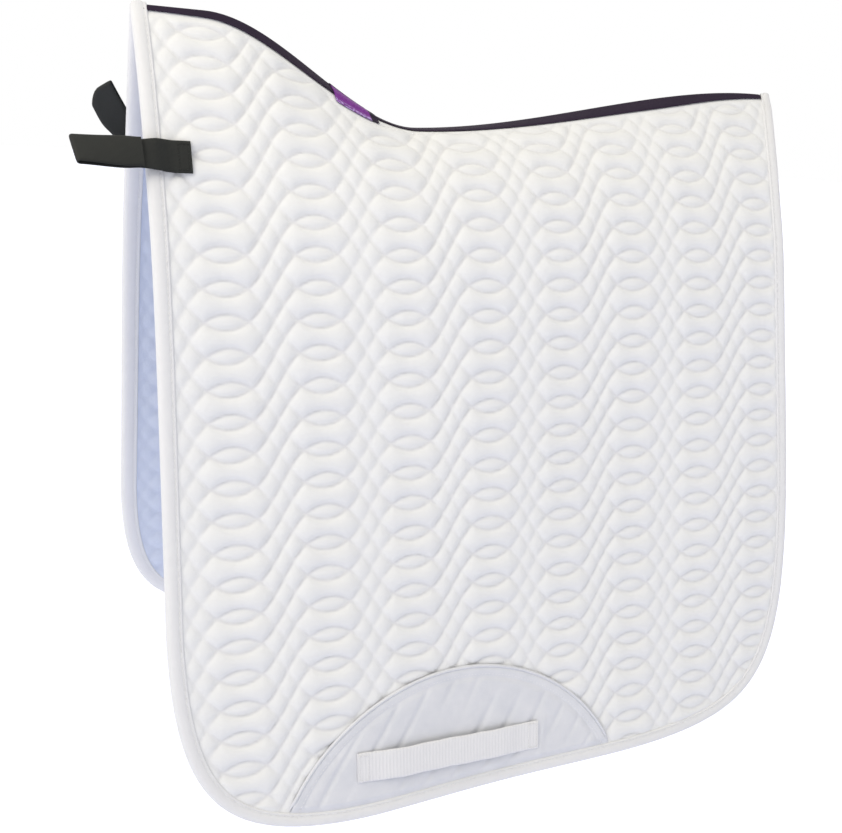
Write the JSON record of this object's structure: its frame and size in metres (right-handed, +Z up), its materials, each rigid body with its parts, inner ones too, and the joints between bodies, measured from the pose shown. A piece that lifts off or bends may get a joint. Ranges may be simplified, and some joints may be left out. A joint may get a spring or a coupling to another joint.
{
  "type": "dressage saddle pad",
  "caption": "Quilted white dressage saddle pad with contoured spine, bound edges, half-moon girth patches, girth loops and folding black front straps.",
  "frame": {"origin": "underside of the spine at the lowest point of the topline, where the pad rests on the horse's back or a rack", "axes": "+X towards the rear of the horse, +Y across towards the off (right) side, +Z up"},
  "size_m": [0.6439, 0.38, 0.6187],
  "materials": {
    "cotton_cover": "white quilted cotton twill, soft sheen, puffed between wavy stitch lines",
    "cotton_lining": "matt white brushed cotton, quilted through",
    "wadding": "loose off-white polyester wadding",
    "edge_binding": "white woven tape, folded over the edge, one stitch line",
    "patch_cloth": "smooth white nylon, slight sheen, wrinkled over the quilting",
    "white_webbing": "white polyester webbing with fine cross ribs",
    "black_webbing": "charcoal nylon webbing, fine weave, faint sheen",
    "hook_cloth": "black hook and loop tape, matt and hairy",
    "spine_tape": "near-black violet woven tape",
    "label_cloth": "plain violet woven label, satin, no lettering"
  },
  "bodies": {
    "pad_top": {"left_upper_cover": "cotton_cover", "left_upper_wadding": "wadding", "left_upper_lining": "cotton_lining", "left_front_binding": "edge_binding", "left_rear_binding": "edge_binding", "left_strap_base": "black_webbing", "right_upper_cover": "cotton_cover", "right_upper_wadding": "wadding", "right_upper_lining": "cotton_lining", "right_front_binding": "edge_binding", "right_rear_binding": "edge_binding", "right_strap_base": "black_webbing", "spine_tape": "spine_tape", "spine_lining_tape": "spine_tape", "spine_label": "label_cloth", "size_tag": "spine_tape"},
    "left_flap": {"left_flap_cover": "cotton_cover", "left_flap_wadding": "wadding", "left_flap_lining": "cotton_lining", "left_flap_binding": "edge_binding", "left_girth_patch": "patch_cloth", "left_patch_piping": "patch_cloth", "left_girth_loop": "white_webbing"},
    "right_flap": {"right_flap_cover": "cotton_cover", "right_flap_wadding": "wadding", "right_flap_lining": "cotton_lining", "right_flap_binding": "edge_binding", "right_girth_patch": "patch_cloth", "right_patch_piping": "patch_cloth", "right_girth_loop": "white_webbing"},
    "left_strap": {"left_strap_webbing": "black_webbing", "left_loop_tape": "hook_cloth"},
    "left_strap_tail": {"left_hook_tape": "hook_cloth", "left_strap_tail": "black_webbing"},
    "right_strap": {"right_strap_webbing": "black_webbing", "right_loop_tape": "hook_cloth"},
    "right_strap_tail": {"right_hook_tape": "hook_cloth", "right_strap_tail": "black_webbing"}
  },
  "joints": [
    {"name": "left_flap_lift", "type": "hinge", "parent": "pad_top", "child": "left_flap", "pos_m": [0, -0.08294, -0.06599], "axis": [-1, 0, 0], "range_deg": [-15, 95]},
    {"name": "right_flap_lift", "type": "hinge", "parent": "pad_top", "child": "right_flap", "pos_m": [0, 0.08294, -0.06599], "axis": [1, 0, 0], "range_deg": [-15, 95]},
    {"name": "left_strap_swing", "type": "hinge", "parent": "pad_top", "child": "left_strap", "pos_m": [-0.207, -0.06413, -0.02105], "axis": [0, 0.434, 0.9009], "range_deg": [0, 120]},
    {"name": "left_tail_peel", "type": "hinge", "parent": "left_strap", "child": "left_strap_tail", "pos_m": [-0.273, -0.06688, -0.01973], "axis": [0, -0.434, -0.9009], "range_deg": [0, 165]},
    {"name": "right_strap_swing", "type": "hinge", "parent": "pad_top", "child": "right_strap", "pos_m": [-0.207, 0.06413, -0.02105], "axis": [0, 0.434, -0.9009], "range_deg": [0, 120]},
    {"name": "right_tail_peel", "type": "hinge", "parent": "right_strap", "child": "right_strap_tail", "pos_m": [-0.24547, 0.0477, 0.02003], "axis": [0.8843, -0.2051, 0.4195], "range_deg": [0, 165]}
  ]
}
